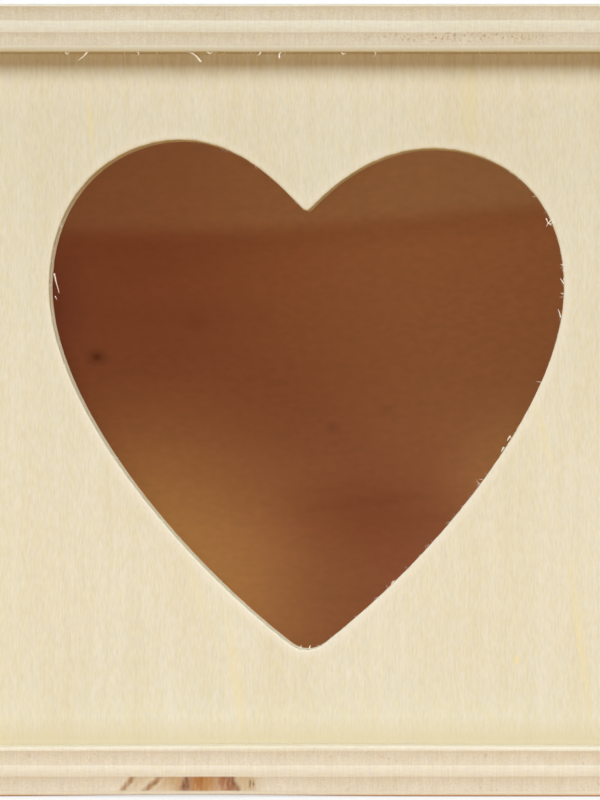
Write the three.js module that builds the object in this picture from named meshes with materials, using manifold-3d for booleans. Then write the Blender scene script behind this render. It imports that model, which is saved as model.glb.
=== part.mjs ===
// A small square plywood box that stands with a heart-shaped window in its front.
// Four boards make the frame. The front panel sits in grooves a little behind their front edges.
// Millimetres, +Z up, the front faces -Y. The origin is at the centre of the underside.
import * as THREE from 'three';
import { mergeVertices } from 'three/addons/utils/BufferGeometryUtils.js';
import Module from 'manifold-3d';

// The box as it is measured over its outside.
const BOX_WIDTH = 100;
const BOX_HEIGHT = 100;
const BOX_DEPTH = 70;

// The boards have five plies and were sanded by hand, the upper one a little more than the lower.
const TOP_THICKNESS = 6.1;
const BOTTOM_THICKNESS = 6.2;
const SIDE_THICKNESS = 6;

// The panels have three plies.
const PANEL_THICKNESS = 3;

// The groove runs round the inside of the frame and holds the front panel.
const GROOVE_SETBACK = 3;
const GROOVE_DEPTH = 2.5;
const GROOVE_WIDTH = 3.4;
const GAP_BEFORE_PANEL = 0.1;
const GAP_ROUND_PANEL = 0.3;

// The heart, with heights taken from the underside of the box.
const HEART_HALF_WIDTH = 32.7;
const HEART_WIDEST_AT = 64.2;
const CLEFT_AT = 73.8;
const CLEFT_ANGLE = THREE.MathUtils.degToRad(41);
const LOBE_CENTRE = 16;
const TIP_AT = 18.3;
const TIP_RADIUS = 3.5;
const TIP_ANGLE = THREE.MathUtils.degToRad(38);

// How far each stretch of the outline runs on before it bends.
const LOBE_OUTER_REACH = 7.8;
const SIDE_UPPER_REACH = 12.8;
const SIDE_LOWER_REACH = 14;
const TIP_REACH = 19.5;

// The two lobes were sawn by hand and differ by a millimetre.
const LEFT_LOBE = { side: -1, top: 83, cleftReach: 3, innerReach: 8.4 };
const RIGHT_LOBE = { side: 1, top: 81.9, cleftReach: 1.5, innerReach: 9 };

// The saw leaned, so the back of the cut lies this far to the right of its front.
const CUT_LEAN = 0.3;
const CUT_STEPS = 20;
const CUT_OVERRUN = 1;

const halfWidth = BOX_WIDTH / 2;
const halfDepth = BOX_DEPTH / 2;
const innerHalfWidth = halfWidth - SIDE_THICKNESS;
const innerTop = BOX_HEIGHT - TOP_THICKNESS;
const innerBottom = BOTTOM_THICKNESS;
const grooveFront = -halfDepth + GROOVE_SETBACK;
const grooveBack = grooveFront + GROOVE_WIDTH;
const grooveHalfWidth = innerHalfWidth + GROOVE_DEPTH;
const grooveFloor = innerBottom - GROOVE_DEPTH;
const grooveCeiling = innerTop + GROOVE_DEPTH;
const panelFront = grooveFront + GAP_BEFORE_PANEL;

const manifold = await Module();
manifold.setup();

// A rectangular block between its lowest and its highest corner.
function block(low, high) {
  const size = high.map((value, axis) => value - low[axis]);
  const middle = high.map((value, axis) => (value + low[axis]) / 2);
  return new THREE.BoxGeometry(...size).translate(...middle);
}

// A closed solid from a geometry, ready to be cut.
function solid(geometry) {
  const bare = geometry.clone();
  bare.deleteAttribute('normal');
  bare.deleteAttribute('uv');
  const merged = mergeVertices(bare);
  const mesh = new manifold.Mesh({
    numProp: 3,
    vertProperties: new Float32Array(merged.attributes.position.array),
    triVerts: new Uint32Array(merged.index.array),
  });
  return new manifold.Manifold(mesh);
}

// The geometry left when a cutter is taken out of a block.
function cut(geometry, cutter) {
  const mesh = solid(geometry).subtract(solid(cutter)).getMesh();
  const result = new THREE.BufferGeometry();
  result.setAttribute('position', new THREE.BufferAttribute(mesh.vertProperties, 3));
  result.setIndex(new THREE.BufferAttribute(mesh.triVerts, 1));
  result.computeVertexNormals();
  return result;
}

// A named piece in its own material.
function piece(name, geometry, color) {
  const material = new THREE.MeshStandardMaterial({ color, roughness: 0.7, metalness: 0 });
  const mesh = new THREE.Mesh(geometry, material);
  mesh.name = name;
  return mesh;
}

// The top and bottom boards run across the whole width, with a groove that stops inside the sides.
function lyingBoard(low, high, grooveLow, grooveHigh) {
  const board = block([-halfWidth, -halfDepth, low], [halfWidth, halfDepth, high]);
  const groove = block(
    [-grooveHalfWidth, grooveFront, grooveLow],
    [grooveHalfWidth, grooveBack, grooveHigh],
  );
  return cut(board, groove);
}

// The side boards stand between the other two, grooved over their full height.
function standingBoard(side) {
  const across = (from, to) => [Math.min(side * from, side * to), Math.max(side * from, side * to)];
  const [boardLow, boardHigh] = across(innerHalfWidth, halfWidth);
  const [grooveLow, grooveHigh] = across(innerHalfWidth - CUT_OVERRUN, grooveHalfWidth);
  const board = block([boardLow, -halfDepth, innerBottom], [boardHigh, halfDepth, innerTop]);
  const groove = block(
    [grooveLow, grooveFront, innerBottom - CUT_OVERRUN],
    [grooveHigh, grooveBack, innerTop + CUT_OVERRUN],
  );
  return cut(board, groove);
}

// One half of the heart from the cleft to the tip, as three curves of four points each.
function halfHeart({ side, top, cleftReach, innerReach }) {
  const point = (x, z) => new THREE.Vector2(side * x, z);
  const tipX = TIP_RADIUS * Math.sin(TIP_ANGLE);
  const tipZ = TIP_AT + TIP_RADIUS * (1 - Math.cos(TIP_ANGLE));
  const inner = [
    point(0, CLEFT_AT),
    point(cleftReach * Math.cos(CLEFT_ANGLE), CLEFT_AT + cleftReach * Math.sin(CLEFT_ANGLE)),
    point(LOBE_CENTRE - innerReach, top),
    point(LOBE_CENTRE, top),
  ];
  const outer = [
    point(LOBE_CENTRE, top),
    point(LOBE_CENTRE + LOBE_OUTER_REACH, top),
    point(HEART_HALF_WIDTH, HEART_WIDEST_AT + SIDE_UPPER_REACH),
    point(HEART_HALF_WIDTH, HEART_WIDEST_AT),
  ];
  const flank = [
    point(HEART_HALF_WIDTH, HEART_WIDEST_AT),
    point(HEART_HALF_WIDTH, HEART_WIDEST_AT - SIDE_LOWER_REACH),
    point(tipX + TIP_REACH * Math.cos(TIP_ANGLE), tipZ + TIP_REACH * Math.sin(TIP_ANGLE)),
    point(tipX, tipZ),
  ];
  return [inner, outer, flank];
}

// The whole outline: down the right half, round the tip and back up the left half.
function heartOutline() {
  const outline = new THREE.Shape();
  outline.moveTo(0, CLEFT_AT);
  for (const [, out, into, end] of halfHeart(RIGHT_LOBE)) {
    outline.bezierCurveTo(out.x, out.y, into.x, into.y, end.x, end.y);
  }
  const down = -Math.PI / 2;
  outline.absarc(0, TIP_AT + TIP_RADIUS, TIP_RADIUS, down + TIP_ANGLE, down - TIP_ANGLE, true);
  for (const [end, into, out] of halfHeart(LEFT_LOBE).reverse()) {
    outline.bezierCurveTo(out.x, out.y, into.x, into.y, end.x, end.y);
  }
  return outline;
}

// The waste that the saw takes out: the heart through the panel, leaning with the depth.
function heartWaste() {
  const depth = PANEL_THICKNESS + 2 * CUT_OVERRUN;
  const options = { depth, steps: 1, curveSegments: CUT_STEPS, bevelEnabled: false };
  const waste = new THREE.ExtrudeGeometry(heartOutline(), options);
  waste.rotateX(Math.PI / 2);
  waste.translate(0, PANEL_THICKNESS + CUT_OVERRUN, 0);
  waste.applyMatrix4(new THREE.Matrix4().makeShear(0, 0, CUT_LEAN / PANEL_THICKNESS, 0, 0, 0));
  return waste.translate(0, panelFront, 0);
}

// The front panel stands on the floor of the lower groove, with a little play on its other edges.
function frontPanel() {
  const reach = grooveHalfWidth - GAP_ROUND_PANEL;
  const panel = block(
    [-reach, panelFront, grooveFloor],
    [reach, panelFront + PANEL_THICKNESS, grooveCeiling - GAP_ROUND_PANEL],
  );
  return cut(panel, heartWaste());
}

// The back panel is let in flush between the four boards.
function backPanel() {
  return block(
    [-innerHalfWidth, halfDepth - PANEL_THICKNESS, innerBottom],
    [innerHalfWidth, halfDepth, innerTop],
  );
}

const PALE_PLYWOOD = '#e3d5b4';
const PALE_VENEER = '#e8dcc0';
const BROWN_VENEER = '#9c6238';

const topBoard = lyingBoard(innerTop, BOX_HEIGHT, innerTop - CUT_OVERRUN, grooveCeiling);
const bottomBoard = lyingBoard(0, innerBottom, grooveFloor, innerBottom + CUT_OVERRUN);

const box = new THREE.Group();
box.add(
  piece('top_board', topBoard, PALE_PLYWOOD),
  piece('bottom_board', bottomBoard, PALE_PLYWOOD),
  piece('left_side', standingBoard(-1), PALE_PLYWOOD),
  piece('right_side', standingBoard(1), PALE_PLYWOOD),
  piece('front_panel', frontPanel(), PALE_VENEER),
  piece('back_panel', backPanel(), BROWN_VENEER),
);

export default box;
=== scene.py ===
# %% [markdown]
# # A plywood box with a heart-shaped window
# The real box is glued up from four boards with five plies, a thin front panel with a sawn heart and
# a thin back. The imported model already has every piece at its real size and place, so this lesson
# only dresses it: each piece gets its plies, its grain, its eased edges and its torn fibres.

import bmesh
import bpy
import numpy as np
from math import atan2, cos, exp, pi, radians, sin
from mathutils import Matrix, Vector, geometry, noise


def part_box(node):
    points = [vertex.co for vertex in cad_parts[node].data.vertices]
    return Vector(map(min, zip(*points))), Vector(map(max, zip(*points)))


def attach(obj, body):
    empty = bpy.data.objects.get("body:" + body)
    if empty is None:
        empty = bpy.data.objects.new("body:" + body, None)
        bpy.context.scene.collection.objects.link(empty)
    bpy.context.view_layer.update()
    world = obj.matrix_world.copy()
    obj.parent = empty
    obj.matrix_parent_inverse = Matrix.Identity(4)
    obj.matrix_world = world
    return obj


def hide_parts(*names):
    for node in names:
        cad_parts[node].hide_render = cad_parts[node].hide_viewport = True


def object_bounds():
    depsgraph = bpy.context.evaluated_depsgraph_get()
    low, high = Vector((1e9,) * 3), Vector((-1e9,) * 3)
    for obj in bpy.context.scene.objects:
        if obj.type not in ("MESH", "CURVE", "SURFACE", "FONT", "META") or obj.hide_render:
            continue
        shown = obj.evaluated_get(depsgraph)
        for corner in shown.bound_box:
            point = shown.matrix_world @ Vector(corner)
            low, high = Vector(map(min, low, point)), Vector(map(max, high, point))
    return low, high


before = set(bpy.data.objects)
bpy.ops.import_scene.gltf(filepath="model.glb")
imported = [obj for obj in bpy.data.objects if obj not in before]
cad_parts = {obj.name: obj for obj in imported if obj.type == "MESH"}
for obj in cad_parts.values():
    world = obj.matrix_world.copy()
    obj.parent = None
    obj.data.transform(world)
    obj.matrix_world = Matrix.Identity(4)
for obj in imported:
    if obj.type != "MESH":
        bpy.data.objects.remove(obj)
cad_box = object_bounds()
MM = 0.001
print("nodes:", ", ".join(sorted(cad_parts)))
print("box in mm:", [round(value / MM, 1) for value in cad_box[1] - cad_box[0]])

# %% [markdown]
# ## The camera
# The photograph looks straight at the front, level with the middle of the box, from about half a
# metre. The front is 100 mm high and 793 pixels high in a frame of 600 x 800 pixels, and the distance
# follows from how much of each lip shows above and below the panel. The lens follows from both.

# %% Camera
PHOTO_WIDTH_PX = 600
PHOTO_HEIGHT_PX = 800
PX_PER_MM = 7.93
CAMERA_DISTANCE_MM = 461
CAMERA_X_MM = -0.8
CAMERA_Z_MM = 50
SENSOR_MM = 36

scene = bpy.context.scene
camera_data = bpy.data.cameras.new("camera")
camera_data.sensor_width = SENSOR_MM
camera_data.lens = PX_PER_MM * CAMERA_DISTANCE_MM / PHOTO_HEIGHT_PX * SENSOR_MM
camera = bpy.data.objects.new("camera", camera_data)
front_y = cad_box[0].y / MM
camera.location = Vector((CAMERA_X_MM, front_y - CAMERA_DISTANCE_MM, CAMERA_Z_MM)) * MM
camera.rotation_euler = (radians(90), 0, 0)
scene.collection.objects.link(camera)
scene.camera = camera
scene.view_settings.view_transform = "Standard"
print("lens in mm:", round(camera_data.lens, 1))


def seen_at(px, py, y_mm):
    """The point in mm, on the upright plane at y_mm, that the photograph shows at a pixel."""
    depth = (y_mm - front_y + CAMERA_DISTANCE_MM) / (PX_PER_MM * CAMERA_DISTANCE_MM)
    across = CAMERA_X_MM + (px - PHOTO_WIDTH_PX / 2) * depth
    up = CAMERA_Z_MM + (PHOTO_HEIGHT_PX / 2 - py) * depth
    return Vector((across, y_mm, up))


# %% [markdown]
# ## Helpers for materials
# Colours are given as sRGB hex values and turned to linear light by one function. Every node is
# added by one other function, which sets its values and draws its links. Two short functions after
# it draw what comes back on this box: a tint laid over the wood, and a soft oval mark.

# %% Colour and node helpers


def linear(code):
    """A hex colour such as e8dcbf as linear red, green, blue and alpha."""
    values = [int(code[i : i + 2], 16) / 255 for i in (0, 2, 4)]
    return [v / 12.92 if v <= 0.04045 else ((v + 0.055) / 1.055) ** 2.4 for v in values] + [1]


def add(tree, kind, inputs=(), **settings):
    """Adds a node. A socket among the inputs is linked, and any other value is set."""
    new = tree.nodes.new(kind)
    for name, value in settings.items():
        setattr(new, name, value)
    for name, value in dict(inputs).items():
        if isinstance(value, bpy.types.NodeSocket):
            tree.links.new(value, new.inputs[name])
        else:
            new.inputs[name].default_value = value
    return new


def new_material(name):
    """An empty material and its node tree."""
    material = bpy.data.materials.new(name)
    material.use_nodes = True
    material.node_tree.nodes.clear()
    return material, material.node_tree


def with_stops(node, stops):
    """Gives a colour ramp its stops, as pairs of a place and a hex colour or a grey value."""
    elements = node.color_ramp.elements
    while len(elements) < len(stops):
        elements.new(0.5)
    for element, (place, tone) in zip(elements, stops):
        element.position = place
        element.color = linear(tone) if isinstance(tone, str) else (tone, tone, tone, 1)
    return node.outputs[0]


def stained(tree, colour, share, tint, *weaker):
    """Lays a hex tint over a colour by a share, which the further factors make weaker."""
    for factor in weaker:
        share = add(tree, "ShaderNodeMath", {0: share, 1: factor}, operation="MULTIPLY").outputs[0]
    return add(
        tree, "ShaderNodeMix", {"Factor": share, 6: colour, 7: linear(tint)}, data_type="RGBA"
    ).outputs[2]


def patch(tree, position, centre, half_size, turn=0.0, soft=1.0):
    """A soft oval mark: 1 in its middle and 0 past its edge."""
    inside = add(
        tree, "ShaderNodeMapping",
        {"Vector": position, "Location": centre, "Rotation": (0, turn, 0), "Scale": half_size},
        vector_type="TEXTURE",
    ).outputs[0]
    reach = add(tree, "ShaderNodeVectorMath", {0: inside}, operation="LENGTH").outputs["Value"]
    return add(
        tree, "ShaderNodeMapRange",
        {"Value": reach, "From Min": 1.0, "From Max": 1.0 - soft},
        interpolation_type="SMOOTHSTEP",
    ).outputs[0]


# %% [markdown]
# ## Studio
# The photograph has a white ground and soft light from two big lamps, raised at the left and the
# right of the camera, and enough light from the front to reach the far wall. The shade under the
# upper board is a warm brown, so much of its light came off something warm. Here the table top gives
# that light back, while the camera sees it as glowing white paper. A small lamp beside the camera
# lights the far wall through the heart. Three warmer lamps stand where they don't reach the front,
# so that the back, the sides and the top can be judged as well. Each lamp has its angle round the
# box, its height angle, its distance and size in metres, its power in watts and its tint.

# %% World, floor and lights
DAYLIGHT = (0.95, 1.01, 1.09)
ROOM_LIGHT = 0.035
FLOOR_SIZE = 6
FLOOR_BELOW_MM = 0.05
FLOOR_SEEN = "f6f3ee"
FLOOR_BOUNCE = "b88d46"
PAPER_GLOW = 0.7
WARM_LIGHT = (1.06, 1.0, 0.88)
LAMPS = (
    ("lamp_right", 32, 34, 2.2, 1.15, 25.2, DAYLIGHT),
    ("lamp_left", -32, 34, 2.2, 1.15, 17.7, DAYLIGHT),
    ("lamp_front", -1, -1, 0.25, 0.04, 0.087, DAYLIGHT),
    ("lamp_side_right", 100, 25, 2.2, 1.3, 19.0, WARM_LIGHT),
    ("lamp_side_left", -100, 25, 2.2, 1.3, 15.0, WARM_LIGHT),
    ("lamp_behind", 180, 25, 2.2, 1.3, 20.0, WARM_LIGHT),
)

world = bpy.data.worlds.new("studio")
scene.world = world
world.use_nodes = True
tree = world.node_tree
tree.nodes.clear()
room = add(tree, "ShaderNodeBackground", {"Color": (*DAYLIGHT, 1), "Strength": ROOM_LIGHT})
paper = add(tree, "ShaderNodeBackground", {"Color": (1, 1, 1, 1), "Strength": 1.0})
seen = add(tree, "ShaderNodeLightPath").outputs["Is Camera Ray"]
both = add(tree, "ShaderNodeMixShader", {0: seen, 1: room.outputs[0], 2: paper.outputs[0]})
add(tree, "ShaderNodeOutputWorld", {"Surface": both.outputs[0]})

floor_material, tree = new_material("painted_table_top")
pale = add(tree, "ShaderNodeBsdfDiffuse", {"Color": linear(FLOOR_SEEN)})
glow = add(tree, "ShaderNodeEmission", {"Color": (1, 1, 1, 1), "Strength": 1.0})
pale = add(tree, "ShaderNodeMixShader", {0: PAPER_GLOW, 1: pale.outputs[0], 2: glow.outputs[0]})
warm = add(tree, "ShaderNodeBsdfDiffuse", {"Color": linear(FLOOR_BOUNCE)})
seen = add(tree, "ShaderNodeLightPath").outputs["Is Camera Ray"]
both = add(tree, "ShaderNodeMixShader", {0: seen, 1: warm.outputs[0], 2: pale.outputs[0]})
add(tree, "ShaderNodeOutputMaterial", {"Surface": both.outputs[0]})
bpy.ops.mesh.primitive_plane_add(size=FLOOR_SIZE, location=(0, 0, cad_box[0].z - FLOOR_BELOW_MM * MM))
table_top = bpy.context.object
table_top.name = "table_top"
table_top.data.materials.append(floor_material)

box_middle = (cad_box[0] + cad_box[1]) / 2
for name, side_angle, height_angle, distance, size, power, tint in LAMPS:
    lamp_data = bpy.data.lights.new(name, "AREA")
    lamp_data.shape = "DISK"
    lamp_data.size = size
    lamp_data.energy = power
    lamp_data.color = tint
    lamp = bpy.data.objects.new(name, lamp_data)
    flat = cos(radians(height_angle))
    direction = Vector((sin(radians(side_angle)) * flat, -cos(radians(side_angle)) * flat,
                        sin(radians(height_angle))))
    lamp.location = box_middle + direction * distance
    lamp.rotation_euler = direction.to_track_quat("Z", "Y").to_euler()
    scene.collection.objects.link(lamp)
print("lamps:", ", ".join(lamp[0] for lamp in LAMPS))

# %% [markdown]
# ## Bare plywood
# Plywood is a stack of veneers whose grain runs by turns one way and the other. At an edge the long
# grain shows pale and streaked, and the end grain shows darker, pinker and dotted with pores. Both
# come from one solid pattern: a noise drawn out along each veneer's own grain. Where a face cuts
# across the grain the streaks turn into dots by themselves, and the face's direction says which
# colour they get. One function makes every sheet, and its settings say how the sheet lies.

# %% Plies and grain
FIBRES_PER_MM = 4.4
HUES_PER_MM = 4.092
FIBRE_STRETCH = 0.2
BAND_STRETCH = 0.03
BANDS_PER_MM = 0.8
BAND_SHARE = 0.3
CLOUD_STRETCH = 0.15
CLOUDS_PER_MM = 0.12
CLOUD_TINT = [(0.3, "fcf9f1"), (0.5, "fffefc"), (0.7, "fdfbf5")]
HUE_TINT = [(0.3, "fffff5"), (0.7, "fcfeff")]
SAW_MARKS_PER_MM = 3.6
SAW_MARK_STRETCH = 0.1
SAW_MARK_STRENGTH = 0.2
PORES_PER_MM = 1.7
PORE_STRENGTH = 0.22
PORE_TINT = "b8895a"
PLY_BORDER_SOFTNESS = 0.012
PLY_WOBBLE_MM = 0.25
WOBBLES_PER_MM = 0.12
GLUE_LINE_SHARE = 0.012
GLUE_STRENGTH = 0.22
GLUE_TINT = "c9ac80"
GRAIN_RELIEF_MM = 0.05


def mask_of_plies(borders):
    """Ramp stops that are 1 in every second veneer, the ones with their grain across."""
    stops = [(0.0, 0.0)]
    value = 0.0
    for border in borders:
        stops.append((border - PLY_BORDER_SOFTNESS, value))
        value = 1.0 - value
        stops.append((border + PLY_BORDER_SOFTNESS, value))
    return stops


def glue_lines(borders):
    """Ramp stops that dip to 0 at each glue line."""
    stops = [(0.0, 1.0)]
    for border in borders:
        stops.extend([(border - GLUE_LINE_SHARE, 1.0), (border, 0.0), (border + GLUE_LINE_SHARE, 1.0)])
    return stops


def stretched(tree, sheet, crossed, stretch):
    """Sheet coordinates squeezed along the grain of whichever veneer they lie in."""
    lengthwise = add(
        tree, "ShaderNodeVectorMath", {0: sheet, 1: (stretch, 1, 1)}, operation="MULTIPLY"
    ).outputs[0]
    crosswise = add(
        tree, "ShaderNodeVectorMath", {0: sheet, 1: (1, stretch, 1)}, operation="MULTIPLY"
    ).outputs[0]
    inputs = {"Factor": crossed, 4: lengthwise, 5: crosswise}
    return add(tree, "ShaderNodeMix", inputs, data_type="VECTOR").outputs[1]


print("mm from fibre to fibre:", round(1 / FIBRES_PER_MM, 2))

# %% [markdown]
# The material reads its place in mm, turned so that the first axis is the face grain and the third
# runs through the sheet. The depth picks the veneer, and a slow drift keeps the borders between the
# plies from being dead straight. Saw marks on the edges, pores in the end grain, thin glue lines and
# the board's own marks are laid over the grain in that order.

# %% Plywood material


def plywood(name, axes, start, thickness, borders, long_grain, end_grain, marks=None):
    """Bare sanded plywood. axes are the indices of the face grain, across it and through the sheet,
    and start and thickness are where the sheet lies, in mm."""
    material, tree = new_material(name)
    place = add(tree, "ShaderNodeTexCoord").outputs
    position = add(
        tree, "ShaderNodeVectorMath", {0: place["Object"], "Scale": 1 / MM}, operation="SCALE"
    ).outputs[0]
    split = add(tree, "ShaderNodeSeparateXYZ", {0: position}).outputs
    facing = add(tree, "ShaderNodeVectorMath", {0: place["Normal"]}, operation="ABSOLUTE").outputs[0]
    facing = add(tree, "ShaderNodeSeparateXYZ", {0: facing}).outputs
    along, across, through = (split[i] for i in axes)
    sheet = add(tree, "ShaderNodeCombineXYZ", {0: along, 1: across, 2: through}).outputs[0]

    drift = add(
        tree, "ShaderNodeTexNoise",
        {"Vector": sheet, "Scale": WOBBLES_PER_MM, "Detail": 3, "Roughness": 0.6},
    ).outputs[0]
    wobble = add(
        tree, "ShaderNodeMapRange",
        {"Value": drift, "From Min": 0, "From Max": 1,
         "To Min": -start - PLY_WOBBLE_MM / 2, "To Max": -start + PLY_WOBBLE_MM / 2},
    ).outputs[0]
    depth = add(tree, "ShaderNodeMath", {0: through, 1: wobble}, operation="ADD").outputs[0]
    depth = add(tree, "ShaderNodeMath", {0: depth, 1: thickness}, operation="DIVIDE").outputs[0]
    crossed = with_stops(add(tree, "ShaderNodeValToRGB", {0: depth}), mask_of_plies(borders))
    glue = with_stops(add(tree, "ShaderNodeValToRGB", {0: depth}), glue_lines(borders))

    fine = stretched(tree, sheet, crossed, FIBRE_STRETCH)
    long = stretched(tree, sheet, crossed, BAND_STRETCH)
    broad = stretched(tree, sheet, crossed, CLOUD_STRETCH)
    fibres = add(
        tree, "ShaderNodeTexNoise",
        {"Vector": fine, "Scale": FIBRES_PER_MM, "Detail": 2, "Roughness": 0.55},
    ).outputs[0]
    hues = add(
        tree, "ShaderNodeTexNoise", {"Vector": fine, "Scale": HUES_PER_MM, "Detail": 1}
    ).outputs[0]
    bands = add(
        tree, "ShaderNodeTexNoise",
        {"Vector": long, "Scale": BANDS_PER_MM, "Detail": 3, "Roughness": 0.6},
    ).outputs[0]
    clouds = add(
        tree, "ShaderNodeTexNoise", {"Vector": broad, "Scale": CLOUDS_PER_MM, "Detail": 3}
    ).outputs[0]

    ends = {"Factor": crossed, 2: facing[axes[0]], 3: facing[axes[1]]}
    cut = add(tree, "ShaderNodeMix", ends).outputs[0]
    cut = add(
        tree, "ShaderNodeMapRange",
        {"Value": cut, "From Min": 0.35, "From Max": 0.8},
        interpolation_type="SMOOTHSTEP",
    ).outputs[0]

    pattern = add(tree, "ShaderNodeMix", {"Factor": BAND_SHARE, 2: fibres, 3: bands}).outputs[0]
    pale = with_stops(add(tree, "ShaderNodeValToRGB", {0: pattern}), long_grain)
    dark = with_stops(add(tree, "ShaderNodeValToRGB", {0: pattern}), end_grain)
    clouds = with_stops(add(tree, "ShaderNodeValToRGB", {0: clouds}), CLOUD_TINT)
    hues = with_stops(add(tree, "ShaderNodeValToRGB", {0: hues}), HUE_TINT)
    colour = add(tree, "ShaderNodeMix", {"Factor": cut, 6: pale, 7: dark}, data_type="RGBA").outputs[2]
    colour = add(
        tree, "ShaderNodeMix",
        {"Factor": 1.0, 6: colour, 7: clouds},
        data_type="RGBA", blend_type="MULTIPLY",
    ).outputs[2]
    colour = add(
        tree, "ShaderNodeMix",
        {"Factor": 1.0, 6: colour, 7: hues},
        data_type="RGBA", blend_type="MULTIPLY",
    ).outputs[2]

    sawn = add(
        tree, "ShaderNodeVectorMath", {0: sheet, 1: (1, 1, SAW_MARK_STRETCH)}, operation="MULTIPLY"
    ).outputs[0]
    sawn = add(
        tree, "ShaderNodeTexNoise", {"Vector": sawn, "Scale": SAW_MARKS_PER_MM, "Detail": 2}
    ).outputs[0]
    sawn = add(tree, "ShaderNodeMath", {0: sawn, 1: 0.5}, operation="SUBTRACT").outputs[0]
    on_edge = add(
        tree, "ShaderNodeMapRange",
        {"Value": facing[axes[2]], "From Min": 0.6, "From Max": 0.2, "To Max": SAW_MARK_STRENGTH},
    ).outputs[0]
    sawn = add(
        tree, "ShaderNodeMath", {0: sawn, 1: on_edge, 2: 1.0}, operation="MULTIPLY_ADD"
    ).outputs[0]
    colour = add(tree, "ShaderNodeVectorMath", {0: colour, "Scale": sawn}, operation="SCALE").outputs[0]

    pores = add(
        tree, "ShaderNodeTexNoise",
        {"Vector": sheet, "Scale": PORES_PER_MM, "Detail": 1, "Roughness": 0.4},
    ).outputs[0]
    pores = add(
        tree, "ShaderNodeMapRange",
        {"Value": pores, "From Min": 0.7, "From Max": 0.8, "To Max": PORE_STRENGTH},
    ).outputs[0]
    colour = stained(tree, colour, pores, PORE_TINT, cut)
    glued = add(
        tree, "ShaderNodeMapRange",
        {"Value": glue, "From Min": 0, "From Max": 1, "To Min": GLUE_STRENGTH, "To Max": 0.0},
    ).outputs[0]
    colour = stained(tree, colour, glued, GLUE_TINT)
    if marks:
        colour = marks(tree, position, colour)

    relief = add(
        tree, "ShaderNodeBump",
        {"Height": pattern, "Strength": 0.35, "Distance": GRAIN_RELIEF_MM * MM},
    )
    wood = add(
        tree, "ShaderNodeBsdfPrincipled",
        {"Base Color": colour, "Roughness": 0.72, "Specular IOR Level": 0.25,
         "Normal": relief.outputs[0]},
    )
    add(tree, "ShaderNodeOutputMaterial", {"Surface": wood.outputs[0]})
    return material


# %% [markdown]
# ## Boards
# Each frame board was sawn from 6 mm plywood and its edges were eased with sandpaper. In the mesh a
# board is its outline, lofted through its thickness. The outline draws in over the last third of a
# millimetre at both faces, or over a tenth where the photograph shows a sharp lower edge. End grain
# lies a little deeper than long grain, because sanding takes more of it. The groove for the front
# panel is then cut out with a Boolean modifier.

# %% Outline and levels
EASE_MM = 0.32
SHARP_EASE_MM = 0.1
EASE_STEPS = 4
BORDER_HALF_MM = 0.06
END_GRAIN_DEPTH_MM = 0.045
SAW_WAVE_MM = 0.05
OUTLINE_STEP_MM = 0.6


def eased_outline(width, depth, step):
    """Points of a rectangle round the origin with eased corners, and their outward normals."""
    corners = [(1, -1, -90), (1, 1, 0), (-1, 1, 90), (-1, -1, 180)]
    points, normals = [], []
    for index, (sx, sy, first) in enumerate(corners):
        middle = Vector((sx * (width / 2 - EASE_MM), sy * (depth / 2 - EASE_MM)))
        for k in range(EASE_STEPS + 1):
            angle = radians(first + 90 * k / EASE_STEPS)
            normal = Vector((cos(angle), sin(angle)))
            points.append(middle + normal * EASE_MM)
            normals.append(normal)
        nx, ny, _ = corners[(index + 1) % 4]
        following = Vector((nx * (width / 2 - EASE_MM), ny * (depth / 2 - EASE_MM)))
        start, end = points[-1], following + normals[-1] * EASE_MM
        side = (width, depth)[normals[-1].y ** 2 < 0.5] - 2 * EASE_MM
        count = round(side / step)
        for k in range(1, count):
            points.append(start.lerp(end, k / count))
            normals.append(normals[-1])
    return points, normals


def ply_levels(thickness, borders, lower_ease):
    """Depths through a sheet, each with how far the easing draws the outline in there."""
    rim = [1 - cos(radians(90 * k / EASE_STEPS)) for k in range(EASE_STEPS + 1)]
    drawn = [1 - sin(radians(90 * k / EASE_STEPS)) for k in range(EASE_STEPS + 1)]
    levels = [(lower_ease * depth, lower_ease * inset) for depth, inset in zip(rim, drawn)]
    edges = [border * thickness for border in borders]
    for edge in edges:
        for depth in (edge - BORDER_HALF_MM, edge + BORDER_HALF_MM):
            if lower_ease < depth < thickness - EASE_MM:
                levels.append((depth, 0.0))
    for low, high in zip([lower_ease] + edges, edges + [thickness - EASE_MM]):
        levels.append(((low + high) / 2, 0.0))
    levels += [(thickness - EASE_MM * depth, EASE_MM * inset) for depth, inset in zip(rim, drawn)]
    return sorted(levels)


print("points round a top board:", len(eased_outline(100, 70, OUTLINE_STEP_MM)[0]))

# %% [markdown]
# The outline then repeats at every level, and quads join each level to the next. Narrow strips from
# one long side to the other close the two flat faces, because one big face over so many points would
# be cut into long thin slivers.

# %% Board meshes


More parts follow.
